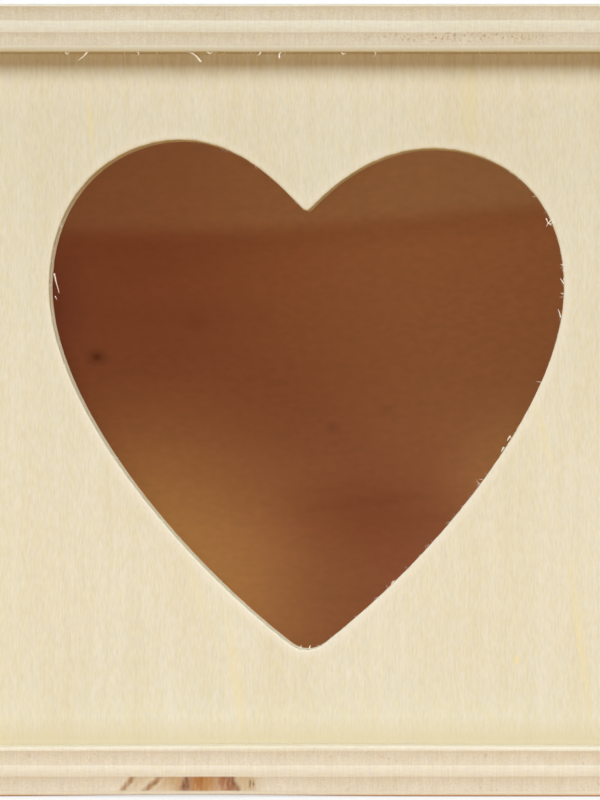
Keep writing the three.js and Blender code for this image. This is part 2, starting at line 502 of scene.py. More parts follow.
def board(name, axes, low, high, borders, material, bow=None, lower_ease=EASE_MM):
    """A sheet of plywood between two corners in mm, lofted through its thickness."""
    size = [high[i] - low[i] for i in axes]
    middle = [(high[i] + low[i]) / 2 for i in axes]
    outline, normals = eased_outline(size[0], size[1], OUTLINE_STEP_MM)
    levels = ply_levels(size[2], borders, lower_ease)
    count = len(outline)
    vertices = []
    for depth, inset in levels:
        layer = sum(depth > border * size[2] for border in borders)
        for point, normal in zip(outline, normals):
            end = normal[layer % 2] ** 2
            wave = noise.noise(Vector((point.x * 0.7, point.y * 0.7, depth * 1.3 + middle[0])))
            push = inset + END_GRAIN_DEPTH_MM * end + SAW_WAVE_MM * (0.5 + 0.5 * wave)
            spot = [0.0, 0.0, 0.0]
            spot[axes[0]] = middle[0] + point.x - normal.x * push
            spot[axes[1]] = middle[1] + point.y - normal.y * push
            spot[axes[2]] = low[axes[2]] + depth
            vertices.append(spot)
    if bow:
        vertices = [bow(spot) for spot in vertices]
    faces = []
    for layer in range(len(levels) - 1):
        for k in range(count):
            a = layer * count + k
            b = layer * count + (k + 1) % count
            faces.append((a, b, b + count, a + count))
    per_end = round((size[1] - 2 * EASE_MM) / OUTLINE_STEP_MM) + 2 * EASE_STEPS
    for first in (0, (len(levels) - 1) * count):
        faces += capping(count, per_end, first)
    return mesh_piece(name, vertices, faces, material)


def capping(count, per_end, first):
    """Faces that close a lofted outline: strips between its long sides and one face at each end."""
    along = (count - 2 * per_end) // 2
    right = list(range(per_end + 1))
    upper = list(range(per_end, per_end + along + 1))
    left = list(range(per_end + along, 2 * per_end + along + 1))
    lower = [k % count for k in range(2 * per_end + along, count + 1)]
    faces = [right, left]
    for a, b, c, d in zip(lower, lower[1:], upper[-2::-1], upper[::-1]):
        faces.append([a, b, c, d])
    return [tuple(first + k for k in face) for face in faces]


def mesh_piece(name, vertices, faces, material):
    """A closed mesh piece from points in mm, with its faces turned outwards."""
    mesh = bpy.data.meshes.new(name)
    mesh.from_pydata([Vector(v) * MM for v in vertices], [], faces)
    form = bmesh.new()
    form.from_mesh(mesh)
    bmesh.ops.recalc_face_normals(form, faces=form.faces)
    for face in form.faces:
        face.smooth = face.calc_area() < 4 * MM * MM
    form.to_mesh(mesh)
    form.free()
    piece = bpy.data.objects.new(name, mesh)
    piece.data.materials.append(material)
    scene.collection.objects.link(piece)
    return piece


def cut_groove(piece, low, high):
    """Takes a rectangular groove out of a piece."""
    corners = [[(low, high)[k >> i & 1][i] for i in range(3)] for k in range(8)]
    sides = [(0, 2, 3, 1), (4, 5, 7, 6), (0, 1, 5, 4), (2, 6, 7, 3), (0, 4, 6, 2), (1, 3, 7, 5)]
    cutter = mesh_piece("groove_cutter", corners, sides, piece.data.materials[0])
    modifier = piece.modifiers.new("groove", "BOOLEAN")
    modifier.object = cutter
    modifier.solver = "MANIFOLD"
    graph = bpy.context.evaluated_depsgraph_get()
    finished = bpy.data.meshes.new_from_object(piece.evaluated_get(graph))
    piece.modifiers.clear()
    piece.data = finished
    bpy.data.objects.remove(cutter)


def corners_mm(node):
    """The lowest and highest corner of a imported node, in mm."""
    low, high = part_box(node)
    return list(low / MM), list(high / MM)


# %% [markdown]
# Marks that only one board has are laid over its plies: pores and a darker lower edge above, a cut
# knot and painted shade along the foot below. They are soft ovals and bands, placed where the
# photograph shows them. A knot mark has the pixels where its foot and its head stand, half its width
# in pixels, half its height in mm, its strength and its tint. A band of painted shade on the foot has
# the two heights between which its tint comes in, its strength and the tint.

# %% Marks of single boards
PORE_PATCH_PX = (450, 37)
PORE_PATCH_MM = (16, 30, 0.75)
RED_PORES_PER_MM = 2.6
RED_PORE_TINT = "b08058"
DARKER_EDGE_FROM_MM = 94.95
DARKER_EDGE_TO_MM = 94.1
DARKER_EDGE_TINT = "cbbd9a"
KNOT_PLY_MM = (0.62, 2.55)
KNOT_Y_PX = 784
KNOT_HEIGHT_PX = 11
KNOT_SWAY_MM = 0.9
KNOT_SWAYS_PER_MM = 1.1
KNOT_HATCH_PER_MM = 2.2
MARK_DEPTH_MM = 20
KNOT_MARKS = (
    (190, 190, 80, 6, 0.4, "dcb783"),
    (131, 140, 12, 5, 0.35, "c49a5c"),
    (123, 132, 4.6, 5, 0.9, "a67640"),
    (156, 168, 10, 5, 0.3, "c49a5c"),
    (146, 159, 4.4, 5, 0.9, "a06f3c"),
    (174, 176, 17, 5, 0.6, "bd8b4c"),
    (200, 203, 28, 6, 1.0, "b67b3c"),
    (200, 203, 18, 6, 0.7, "b4763e"),
    (185, 186, 7, 5, 0.95, "7f492e"),
    (209, 210, 9, 5, 0.4, "cda062"),
    (228, 225, 17, 6, 1.0, "a7683b"),
    (237, 231, 6, 5, 0.9, "834a28"),
    (249, 247, 18, 5, 0.6, "c49c5e"),
    (249.7, 249.7, 1.6, 0.8, 0.7, "6b4a30"),
    (253, 253, 1.6, 0.8, 0.7, "6b4a30"),
)
# Painted shade: a contact shadow along the lowest edge, where the board stands on the table, and a faint
# shade along the eased top edge.
FOOT_PAINTED_SHADE = (
    (0.85, 0.4, 0.4, "ddc7a2"),
    (0.27, 0.12, 0.9, "bf7f44"),
    (6.0, 6.2, 0.12, "dccaa2"),
)


def marks_of_upper_board(tree, position, colour):
    """Reddish-brown pores right of the middle in one cross veneer, and a darker, yellower lower edge."""
    near = patch(tree, position, seen_at(*PORE_PATCH_PX, front_y), PORE_PATCH_MM, soft=0.5)
    spots = add(
        tree, "ShaderNodeTexNoise", {"Vector": position, "Scale": RED_PORES_PER_MM, "Detail": 1}
    ).outputs[0]
    spots = add(
        tree, "ShaderNodeMapRange", {"Value": spots, "From Min": 0.56, "From Max": 0.7, "To Max": 0.6}
    ).outputs[0]
    colour = stained(tree, colour, spots, RED_PORE_TINT, near)
    height = add(tree, "ShaderNodeSeparateXYZ", {0: position}).outputs[2]
    # Darker and yellower towards the lower edge.
    darker_edge = add(
        tree, "ShaderNodeMapRange",
        {"Value": height, "From Min": DARKER_EDGE_FROM_MM, "From Max": DARKER_EDGE_TO_MM, "To Max": 0.95},
    ).outputs[0]
    return stained(tree, colour, darker_edge, DARKER_EDGE_TINT)


def marks_of_lower_board(tree, position, colour):
    """A brown knot that the saw cut through in one cross veneer, and painted shade along the lowest and
    the top edge.
    """
    height = add(tree, "ShaderNodeSeparateXYZ", {0: position}).outputs[2]
    bottom, top = KNOT_PLY_MM
    above = add(
        tree, "ShaderNodeMapRange", {"Value": height, "From Min": bottom, "From Max": bottom + 0.18}
    ).outputs[0]
    below = add(
        tree, "ShaderNodeMapRange", {"Value": height, "From Min": top, "From Max": top - 0.15}
    ).outputs[0]
    hatch = add(
        tree, "ShaderNodeVectorMath", {0: position, 1: (1, 1, 0.3)}, operation="MULTIPLY"
    ).outputs[0]
    hatch = add(
        tree, "ShaderNodeTexNoise", {"Vector": hatch, "Scale": KNOT_HATCH_PER_MM, "Detail": 3}
    ).outputs[0]
    hatch = add(
        tree, "ShaderNodeMapRange",
        {"Value": hatch, "From Min": 0.36, "From Max": 0.56, "To Min": 0.68, "To Max": 1.0},
    ).outputs[0]
    within = add(tree, "ShaderNodeMath", {0: above, 1: below}, operation="MULTIPLY").outputs[0]
    within = add(tree, "ShaderNodeMath", {0: within, 1: hatch}, operation="MULTIPLY").outputs[0]
    inputs = {"Vector": position, "Scale": KNOT_SWAYS_PER_MM, "Detail": 2}
    sway = add(tree, "ShaderNodeTexNoise", inputs).outputs[1]
    swayed = add(
        tree, "ShaderNodeVectorMath",
        {0: sway, 1: (KNOT_SWAY_MM, 0, 0), 2: position},
        operation="MULTIPLY_ADD",
    ).outputs[0]
    for foot_px, head_px, half_px, half_height, strength, tint in KNOT_MARKS:
        centre = seen_at((foot_px + head_px) / 2, KNOT_Y_PX, front_y)
        centre.x += KNOT_SWAY_MM / 2
        size = (half_px / PX_PER_MM, MARK_DEPTH_MM, half_height)
        share = patch(tree, swayed, centre, size, atan2(head_px - foot_px, KNOT_HEIGHT_PX))
        colour = stained(tree, colour, share, tint, within, strength)
    # Painted contact shadow and edge shade on the foot.
    for start, end, strength, tint in FOOT_PAINTED_SHADE:
        edge = add(
            tree, "ShaderNodeMapRange",
            {"Value": height, "From Min": start, "From Max": end, "To Max": strength},
        ).outputs[0]
        colour = stained(tree, colour, edge, tint)
    return colour


print("knot marks:", len(KNOT_MARKS), "foot edges:", len(FOOT_PAINTED_SHADE))

# %% [markdown]
# The plies were measured in the photograph at both boards' edges, from below: a thin veneer, a cross
# veneer, the core, a second cross veneer and a thin veneer again. The lower board is given paler
# colours than the upper one, as painted light from the table below it. The side boards stand with
# their face grain upright.

# %% Build the boards
BOARD_BORDERS = (0.10, 0.397, 0.64, 0.915)
TOP_BORDERS = (0.135, 0.405, 0.655, 0.94)
LONG_GRAIN = [(0.30, "e1dccb"), (0.50, "e7e2d3"), (0.70, "ebe8dd")]
END_GRAIN = [(0.32, "d3c8b1"), (0.50, "dacfbb"), (0.68, "e0d8c6")]
# Paler colours for the lower board: painted light from the table below.
FOOT_LONG_GRAIN = [(0.30, "f0e6d2"), (0.50, "f5ecda"), (0.70, "f8f2e3")]
FOOT_END_GRAIN = [(0.32, "e3d4bd"), (0.50, "e9dcc7"), (0.68, "ede4d2")]
BOW_TOP_MM = 0.17
BOW_FOOT_MM = 0.22
HOLLOW_X_MM = -14
HOLLOW_HALF_MM = 17
GROOVE_PLAY_MM = 0.1


def mirrored(borders):
    """The same plies seen from the sheet's other face."""
    return tuple(1 - border for border in reversed(borders))


def bow_of_lower_board(spot):
    """The lower board has bowed up a little between its ends, its underside mostly at the left."""
    x, y, z = spot
    arch = BOW_TOP_MM * cos(pi * x / (foot_high[0] - foot_low[0])) ** 2
    hollow = BOW_FOOT_MM * exp(-((x - HOLLOW_X_MM) / HOLLOW_HALF_MM) ** 2)
    height = (z - foot_low[2]) / (foot_high[2] - foot_low[2])
    return [x, y, z + hollow * (1 - height) + arch * height]


top_low, top_high = corners_mm("top_board")
foot_low, foot_high = corners_mm("bottom_board")
left_low, left_high = corners_mm("left_side")
right_low, right_high = corners_mm("right_side")
panel_low, panel_high = corners_mm("front_panel")
back_low, back_high = corners_mm("back_panel")

outer_borders = mirrored(BOARD_BORDERS)
top_wood = plywood("sanded_poplar_plywood_top", (0, 1, 2), top_low[2], top_high[2] - top_low[2],
                   TOP_BORDERS, LONG_GRAIN, END_GRAIN, marks_of_upper_board)
foot_wood = plywood("sanded_poplar_plywood_foot", (0, 1, 2), foot_low[2], foot_high[2] - foot_low[2],
                    BOARD_BORDERS, FOOT_LONG_GRAIN, FOOT_END_GRAIN, marks_of_lower_board)
left_wood = plywood("sanded_poplar_plywood_left", (2, 1, 0), left_low[0], left_high[0] - left_low[0],
                    BOARD_BORDERS, LONG_GRAIN, END_GRAIN)
right_wood = plywood("sanded_poplar_plywood_right", (2, 1, 0), right_low[0], right_high[0] - right_low[0],
                     outer_borders, LONG_GRAIN, END_GRAIN)

boards = {
    "top_board": board("top_board_plies", (0, 1, 2), top_low, top_high, TOP_BORDERS, top_wood,
                       lower_ease=SHARP_EASE_MM),
    "bottom_board": board("bottom_board_plies", (0, 1, 2), foot_low, foot_high, BOARD_BORDERS,
                          foot_wood, bow_of_lower_board, SHARP_EASE_MM),
    "left_side": board("left_side_plies", (2, 1, 0), left_low, left_high, BOARD_BORDERS, left_wood),
    "right_side": board("right_side_plies", (2, 1, 0), right_low, right_high, outer_borders,
                        right_wood),
}
groove_low = [value - GROOVE_PLAY_MM for value in panel_low]
groove_high = [value + GROOVE_PLAY_MM for value in panel_high]
for node, piece in boards.items():
    cut_groove(piece, groove_low, groove_high)
    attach(piece, "root")
    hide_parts(node)
    print(piece.name, len(piece.data.polygons), "faces")

# %% [markdown]
# ## The front panel and its heart
# The heart was sawn out of thin plywood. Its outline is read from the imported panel, at the front and
# at the back, so the saw's slight lean comes along. Rings of points then follow it through the
# thickness: an eased and slightly torn front edge, the face veneer, the deeper core and the back
# veneer. Four more rings on the face carry a "torn" value that fades with distance, so the material
# can whiten the crushed fibres beside the cut.

# %% Heart outline
HEART_STEPS = 620
CLEFT_SMOOTHING = 1.1
NORMAL_SMOOTHING = 4.5
PANEL_RIM_MM = 5


def heart_at(depth_mm):
    """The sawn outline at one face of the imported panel, as points in x and z, in mm."""
    spots = {
        (round(v.co.x / MM, 4), round(v.co.z / MM, 4))
        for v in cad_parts["front_panel"].data.vertices
        if abs(v.co.y / MM - depth_mm) < 0.01
    }
    middle = Vector((0, sum(z for _, z in spots) / len(spots)))
    reach = panel_high[0] - PANEL_RIM_MM
    spots = [Vector(s) for s in spots if abs(s[0]) < reach]
    spots.sort(key=lambda s: np.arctan2(s.x - middle.x, s.y - middle.y))
    cleft = min(range(len(spots)), key=lambda k: abs(spots[k].x) + (spots[k].y < middle.y) * 99)
    spots = spots[cleft:] + spots[:cleft] + [spots[cleft]]
    line = np.array([list(s) for s in spots])
    lengths = np.r_[0, np.cumsum(np.linalg.norm(np.diff(line, axis=0), axis=1))]
    wanted = np.linspace(0, lengths[-1], HEART_STEPS, endpoint=False)
    return np.c_[np.interp(wanted, lengths, line[:, 0]), np.interp(wanted, lengths, line[:, 1])]


def smoothed(values, width):
    """Values round a closed ring, averaged over a bell of neighbours."""
    reach = int(4 * width) + 1
    weights = np.exp(-0.5 * (np.arange(-reach, reach + 1) / width) ** 2)
    weights /= weights.sum()
    return sum(w * np.roll(values, -k, axis=0) for w, k in zip(weights, range(-reach, reach + 1)))


front_heart = smoothed(heart_at(panel_low[1]), CLEFT_SMOOTHING)
back_heart = smoothed(heart_at(panel_high[1]), CLEFT_SMOOTHING)
tangents = np.roll(front_heart, -1, axis=0) - np.roll(front_heart, 1, axis=0)
tangents /= np.linalg.norm(tangents, axis=1)[:, None]
into_wood = smoothed(np.c_[-tangents[:, 1], tangents[:, 0]], NORMAL_SMOOTHING)
if into_wood[HEART_STEPS // 4][0] < 0:
    into_wood = -into_wood
into_wood /= np.linalg.norm(into_wood, axis=1)[:, None]
heart_size = front_heart.max(0) - front_heart.min(0)
print("heart in mm:", heart_size.round(1), "lean in mm:", (back_heart - front_heart).mean(0).round(2))

# %% [markdown]
# The face veneer's grain is upright. Where the saw crossed it, at the tip and over the lobes, the
# fibres broke off short and left a ragged, paler rim. Where the saw ran along it, at the widest
# places, it left a clean edge with a few long hairs.

# %% Front panel mesh
FACE_VENEER_MM = 0.75
CORE_DEPTH_MM = 0.06
CHATTER_MM = 0.035
FRONT_EASE_MM = 0.10
RAGGED_MM = 0.14
RAISED_MM = 0.03
PANEL_SIDE_STEPS = 40
TORN_RINGS = ((1.25, 0.0), (0.8, 0.55), (0.4, 0.95), (0.14, 1.0))
TORN_BELOW_MM = 70
TORN_FULLY_MM = 35


def ragged(seed, frequency):
    """A value from 0 to 1 that wanders along the outline."""
    return np.array([
        0.5 + 0.5 * noise.noise(Vector((x * frequency, z * frequency, seed))) for x, z in front_heart
    ])


def panel_rings():
    """Rings of points from the panel's face, round the cut's front edge and through to its back."""
    depth = panel_high[1] - panel_low[1]
    crossing = into_wood[:, 1] ** 2
    bite = RAGGED_MM * ragged(3.1, 2.2) ** 2 * (0.35 + crossing)
    chatter = CHATTER_MM * (ragged(7.7, 1.1) - 0.5)
    low = np.clip((TORN_BELOW_MM - front_heart[:, 1]) / (TORN_BELOW_MM - TORN_FULLY_MM), 0, 1)
    bite = bite * (1 + low)
    rings, torn = [], []

    def ring(y, inset, torn_value):
        share = y / depth
        line = front_heart * (1 - share) + back_heart * share + into_wood * inset[:, None]
        rings.append(np.c_[line[:, 0], np.full(HEART_STEPS, panel_low[1] + y), line[:, 1]])
        torn.append(torn_value * (0.3 + 0.7 * low))

    for reach, value in TORN_RINGS:
        raised = RAISED_MM * value * ragged(1.3, 1.6) * crossing
        ring(0.0, reach + bite + chatter, value)
        rings[-1][:, 1] -= raised
    ring(FRONT_EASE_MM * 0.5, 0.04 + bite + chatter, 1.0)
    ring(FRONT_EASE_MM * 1.3, bite * 0.6 + chatter, 0.8)
    ring(FACE_VENEER_MM - 0.05, bite * 0.2 + chatter, 0.3)
    ring(FACE_VENEER_MM + 0.05, CORE_DEPTH_MM + chatter, 0.0)
    ring(depth / 2, CORE_DEPTH_MM + chatter + 0.02 * ragged(5.2, 2.5), 0.0)
    ring(depth - FACE_VENEER_MM - 0.05, CORE_DEPTH_MM + chatter, 0.0)
    ring(depth - FACE_VENEER_MM + 0.05, chatter, 0.0)
    ring(depth - FRONT_EASE_MM, chatter, 0.0)
    ring(depth, 0.08 + chatter, 0.0)
    return rings, torn


def panel_edge(y):
    """Points round the panel's outer edge at one depth."""
    x0, x1, z0, z1 = panel_low[0], panel_high[0], panel_low[2], panel_high[2]
    corners = [(x0, z0), (x1, z0), (x1, z1), (x0, z1), (x0, z0)]
    steps = np.linspace(0, 1, PANEL_SIDE_STEPS, endpoint=False)
    return [
        (a[0] + (b[0] - a[0]) * s, y, a[1] + (b[1] - a[1]) * s)
        for a, b in zip(corners, corners[1:]) for s in steps
    ]


def front_panel(material):
    """The whole panel as one closed mesh with its torn value on every point."""
    rings, torn = panel_rings()
    edges = [panel_edge(panel_low[1]), panel_edge(panel_high[1])]
    vertices = [tuple(p) for r in rings for p in r]
    values = list(np.concatenate(torn))
    faces = []
    for layer in range(len(rings) - 1):
        for k in range(HEART_STEPS):
            a = layer * HEART_STEPS + k
            b = layer * HEART_STEPS + (k + 1) % HEART_STEPS
            faces.append((a, b, b + HEART_STEPS, a + HEART_STEPS))
    first_edge = len(vertices)
    count = len(edges[0])
    for edge in edges:
        vertices += edge
        values += [0.0] * count
    for k in range(count):
        a, b = first_edge + k, first_edge + (k + 1) % count
        faces.append((a, b, b + count, a + count))
    for edge_start, ring_start, ring in (
        (first_edge, 0, rings[0]),
        (first_edge + count, (len(rings) - 1) * HEART_STEPS, rings[-1]),
    ):
        outer = [Vector((v[0], v[2], 0)) for v in vertices[edge_start : edge_start + count]]
        inner = [Vector((p[0], p[2], 0)) for p in ring]
        for face in geometry.tessellate_polygon([outer, inner]):
            faces.append(tuple(
                edge_start + k if k < count else ring_start + k - count for k in face
            ))
    piece = mesh_piece("front_panel_veneers", vertices, faces, material)
    attribute = piece.data.attributes.new("torn", "FLOAT", "POINT")
    attribute.data.foreach_set("value", values)
    for polygon in piece.data.polygons:
        polygon.use_smooth = max(polygon.vertices) < first_edge and len(polygon.vertices) == 4
    return piece


# %% [markdown]
# The face of the panel is one sheet of poplar veneer: cream, with very fine upright grain, a few
# broad yellowish streaks that lean a little, and one small yellow fleck. The streaks are soft ovals,
# placed by the pixels where the photograph shows them. Each has its middle, its half width and half
# height in pixels, its lean in degrees and its strength. Painted light makes the face paler towards
# its foot, and painted shade darkens the grain under the upper board and yellows the strip above the
# lower one.

# %% Front panel material
PANEL_BORDERS = (0.25, 0.75)
PANEL_GRAIN = [(0.30, "dcd4ba"), (0.50, "e2dbc6"), (0.70, "e7e1d3")]
PANEL_END_GRAIN = [(0.32, "ebdcb8"), (0.50, "f0e3c4"), (0.68, "f4e9ce")]
PAINTED_LIGHT_AT_FOOT = 1.12
YELLOW = "eadba4"
FOOT_SHADE_FROM_MM = 9.8
FOOT_SHADE_TO_MM = 7.0
FOOT_SHADE_TINT = "d9caa2"
SHADE_STREAKS_FROM_MM = 90.5
SHADE_STREAKS_TO_MM = 93
SHADE_STREAK_TINT = "b08a4c"
STREAKS_PER_MM = 2.4
TORN_SPOTS_PER_MM = 2.4
TORN_TINT = "f6efdc"
YELLOW_STREAKS = (
    (90, 120, 5, 50, 6, 0.5),
    (470, 105, 14, 60, 0, 0.35),
    (545, 440, 6, 60, 15, 0.4),
    (580, 640, 7, 120, 8, 0.45),
    (196, 590, 7, 60, 18, 0.3),
    (236, 680, 10, 90, 8, 0.4),
    (517, 660, 4, 8, 0, 0.9),
)


def panel_marks(tree, position, colour):
    """Yellowish streaks, painted light towards the foot, painted shade along the two boards and pale torn
    fibres at the cut.
    """
    for px, py, half_width, half_height, lean, strength in YELLOW_STREAKS:
        centre = seen_at(px, py, panel_low[1])
        size = (half_width / PX_PER_MM, MARK_DEPTH_MM, half_height / PX_PER_MM)
        share = patch(tree, position, centre, size, radians(-lean))
        colour = stained(tree, colour, share, YELLOW, strength)
    height = add(tree, "ShaderNodeSeparateXYZ", {0: position}).outputs[2]
    # Painted light: the face grows paler towards its foot, as the table below would light it.
    painted_light = add(
        tree, "ShaderNodeMapRange",
        {"Value": height, "From Min": 85, "From Max": 25, "To Min": 1.0, "To Max": PAINTED_LIGHT_AT_FOOT},
    ).outputs[0]
    colour = add(
        tree, "ShaderNodeVectorMath", {0: colour, "Scale": painted_light}, operation="SCALE"
    ).outputs[0]
    # Painted shade in the corner above the lower board, darker and yellower near the foot.
    foot_shade = add(
        tree, "ShaderNodeMapRange",
        {"Value": height, "From Min": FOOT_SHADE_FROM_MM, "From Max": FOOT_SHADE_TO_MM, "To Max": 0.75},
    ).outputs[0]
    colour = stained(tree, colour, foot_shade, FOOT_SHADE_TINT)
    # Painted shade under the upper board, streaked along the grain.
    streaks = add(
        tree, "ShaderNodeVectorMath", {0: position, 1: (1, 1, 0.08)}, operation="MULTIPLY"
    ).outputs[0]
    streaks = add(
        tree, "ShaderNodeTexNoise", {"Vector": streaks, "Scale": STREAKS_PER_MM, "Detail": 2}
    ).outputs[0]
    streaks = add(
        tree, "ShaderNodeMapRange", {"Value": streaks, "From Min": 0.45, "From Max": 0.65}
    ).outputs[0]
    shade_streaks = add(
        tree, "ShaderNodeMapRange",
        {"Value": height, "From Min": SHADE_STREAKS_FROM_MM, "From Max": SHADE_STREAKS_TO_MM, "To Max": 0.13},
    ).outputs[0]
    colour = stained(tree, colour, shade_streaks, SHADE_STREAK_TINT, streaks)
    torn = add(tree, "ShaderNodeAttribute", attribute_name="torn").outputs["Fac"]
    rough = add(
        tree, "ShaderNodeTexNoise", {"Vector": position, "Scale": TORN_SPOTS_PER_MM, "Detail": 2}
    ).outputs[0]
    rough = add(
        tree, "ShaderNodeMapRange", {"Value": rough, "From Min": 0.15, "From Max": 0.5, "To Max": 0.6}
    ).outputs[0]
    return stained(tree, colour, torn, TORN_TINT, rough)


panel_wood = plywood("sanded_poplar_veneer_front", (2, 0, 1), panel_low[1], panel_high[1] - panel_low[1],
                     PANEL_BORDERS, PANEL_GRAIN, PANEL_END_GRAIN, panel_marks)
panel = front_panel(panel_wood)
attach(panel, "root")
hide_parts("front_panel")
print(panel.name, len(panel.data.polygons), "faces")

# %% [markdown]
# ## The back panel
# Through the heart the far wall shows a brown veneer with level grain, darker bands and a few knots.
# The far wall lies out of focus in the photograph, so its pattern is drawn soft. Painted light makes it
# lighter at the upper right, two painted pools of light lie at its lower left and lower right, and
# painted shade lies between them and near the left wall. A level line runs across it, paler above,
# mostly at the right, and with a darker streak just below. Each mark has its middle, its half width
# and half height in pixels, its lean in degrees, its strength and its tint. The outer face, which the
# photograph doesn't show, is the same cream veneer as the front.

# %% Back panel
# Painted light over the upper right of the far wall.
PAINTED_LIGHT_UPPER_RIGHT = (560, 240, 430, 400, "eaa069")
LEVEL_LINE = ((250, 232), (540, 205))
ABOVE_LINE = "efbe88"
ABOVE_LEFT = 0.28
ABOVE_RIGHT = 0.64
STREAK = "9a5c3a"
BROWN_GRAIN = [(0.3, "cb7a50"), (0.5, "cf7d52"), (0.7, "d37f54")]
BANDS_OF_BROWN_PER_MM = 0.25
BROWN_VENEER_MM = 0.85
GRAIN_SLOPE = -2.5
WEAVES_PER_MM = 1.1
BROWN_MARKS_AND_PAINTED_LIGHT = (
    (97, 357, 16, 12, 0, 0.5, "7a3a20"),
    (97, 357, 6, 5, 0, 0.5, "6a2c16"),
    (195, 322, 20, 14, 0, 0.2, "9a5632"),
    (333, 428, 14, 10, 0, 0.22, "9a5632"),
    (385, 410, 12, 8, 0, 0.15, "9a5632"),
    # Painted pools of light at the lower left and the lower right.
    (150, 600, 240, 275, 0, 1.0, "f4b163"),
    (515, 470, 95, 100, 0, 0.7, "fbb770"),
    # Painted shade between the two pools of light.
    (365, 518, 130, 70, 0, 0.5, "b46434"),
    (362, 503, 95, 10, 7, 0.22, "a65c38"),
    (330, 610, 100, 100, 0, 0.35, "a8743a"),
    # Painted shade near the left wall.
    (50, 300, 50, 90, 0, 0.5, "b05c4a"),
)


def brown_inner_face(tree, position, colour):
    """Brown veneer on the face that looks into the box, with painted light and shade laid over it."""
    across, depth, height = add(tree, "ShaderNodeSeparateXYZ", {0: position}).outputs
    border = back_low[1] + BROWN_VENEER_MM
    inner = add(
        tree, "ShaderNodeMapRange",
        {"Value": depth, "From Min": border + 0.05, "From Max": border - 0.05},
    ).outputs[0]
    slope = {"Vector": position, "Rotation": (0, radians(GRAIN_SLOPE), 0), "Scale": (0.1, 1, 1)}
    slanted = add(tree, "ShaderNodeMapping", slope).outputs[0]
    tone = add(
        tree, "ShaderNodeTexNoise", {"Vector": slanted, "Scale": BANDS_OF_BROWN_PER_MM, "Detail": 3}
    ).outputs[0]
    tone = with_stops(add(tree, "ShaderNodeValToRGB", {0: tone}), BROWN_GRAIN)

    # Painted light at the upper right.
    px, py, half_width, half_height, tint = PAINTED_LIGHT_UPPER_RIGHT
    centre = seen_at(px, py, back_low[1])
    reach = centre - seen_at(px - half_width, py + half_height, back_low[1])
    share = patch(tree, position, centre, (reach.x, MARK_DEPTH_MM, reach.z), soft=0.7)
    tone = stained(tree, tone, share, tint)

    low_end, high_end = (seen_at(px, py, back_low[1]) for px, py in LEVEL_LINE)
    line = add(
        tree, "ShaderNodeMapRange",
        {"Value": across, "From Min": low_end.x, "From Max": high_end.x,
         "To Min": low_end.z, "To Max": high_end.z},
    ).outputs[0]
    over = add(tree, "ShaderNodeMath", {0: height, 1: line}, operation="SUBTRACT").outputs[0]
    lighter = add(
        tree, "ShaderNodeMapRange",
        {"Value": across, "From Min": -35, "From Max": 34, "To Min": ABOVE_LEFT, "To Max": ABOVE_RIGHT},
    ).outputs[0]
    lighter = add(
        tree, "ShaderNodeMapRange",
        {"Value": over, "From Min": -2.0, "From Max": 2.0, "To Max": lighter},
        interpolation_type="SMOOTHSTEP",
    ).outputs[0]
    tone = stained(tree, tone, lighter, ABOVE_LINE)
    streak = add(
        tree, "ShaderNodeMapRange",
        {"Value": over, "From Min": 1.6, "From Max": -1.2, "To Max": 0.15},
        interpolation_type="SMOOTHSTEP",
    ).outputs[0]
    fading = add(
        tree, "ShaderNodeMapRange",
        {"Value": over, "From Min": -5.0, "From Max": -1.0},
        interpolation_type="SMOOTHSTEP",
    ).outputs[0]
    tone = stained(tree, tone, streak, STREAK, fading)

    for px, py, half_width, half_height, lean, strength, tint in BROWN_MARKS_AND_PAINTED_LIGHT:
        centre = seen_at(px, py, back_low[1])
        scale = (centre - seen_at(px - 1, py, back_low[1])).x
        size = (half_width * scale, MARK_DEPTH_MM, half_height * scale)
        share = patch(tree, position, centre, size, radians(-lean))
        tone = stained(tree, tone, share, tint, strength)
    weave = add(
        tree, "ShaderNodeVectorMath", {0: position, 1: (0.6, 1, 1)}, operation="MULTIPLY"
    ).outputs[0]
    weave = add(
        tree, "ShaderNodeTexNoise", {"Vector": weave, "Scale": WEAVES_PER_MM, "Detail": 1}
    ).outputs[0]
    weave = add(
        tree, "ShaderNodeMapRange",
        {"Value": weave, "From Min": 0.25, "From Max": 0.75, "To Min": 0.96, "To Max": 1.04},
    ).outputs[0]
    tone = add(tree, "ShaderNodeVectorMath", {0: tone, "Scale": weave}, operation="SCALE").outputs[0]
    return add(
        tree, "ShaderNodeMix", {"Factor": inner, 6: colour, 7: tone}, data_type="RGBA"
    ).outputs[2]


back_wood = plywood("sanded_veneer_back", (0, 2, 1), back_low[1], back_high[1] - back_low[1],
                    PANEL_BORDERS, PANEL_GRAIN, END_GRAIN, brown_inner_face)
back = board("back_panel_veneers", (0, 2, 1), back_low, back_high, PANEL_BORDERS, back_wood)
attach(back, "root")
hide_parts("back_panel")
print(back.name, len(back.data.polygons), "faces")

# %% [markdown]
# ## Loose fibres
# The saw left short hairs round the heart and along the upper board's lower edge. They repeat by the
# hundred, so Geometry Nodes plants them: the guide line becomes evenly spaced points, each point gets
# a thin tapering hair that leans a random way, and noise bends the hairs. The line carries two values,
# "shag" for how many, and "outward" for the way they lean.

# %% Fibre tree
HAIR_SIDES = 4
HAIR_JOINTS = 5
SHORTEST_HAIR = 0.18
BENDS_PER_METRE = 900


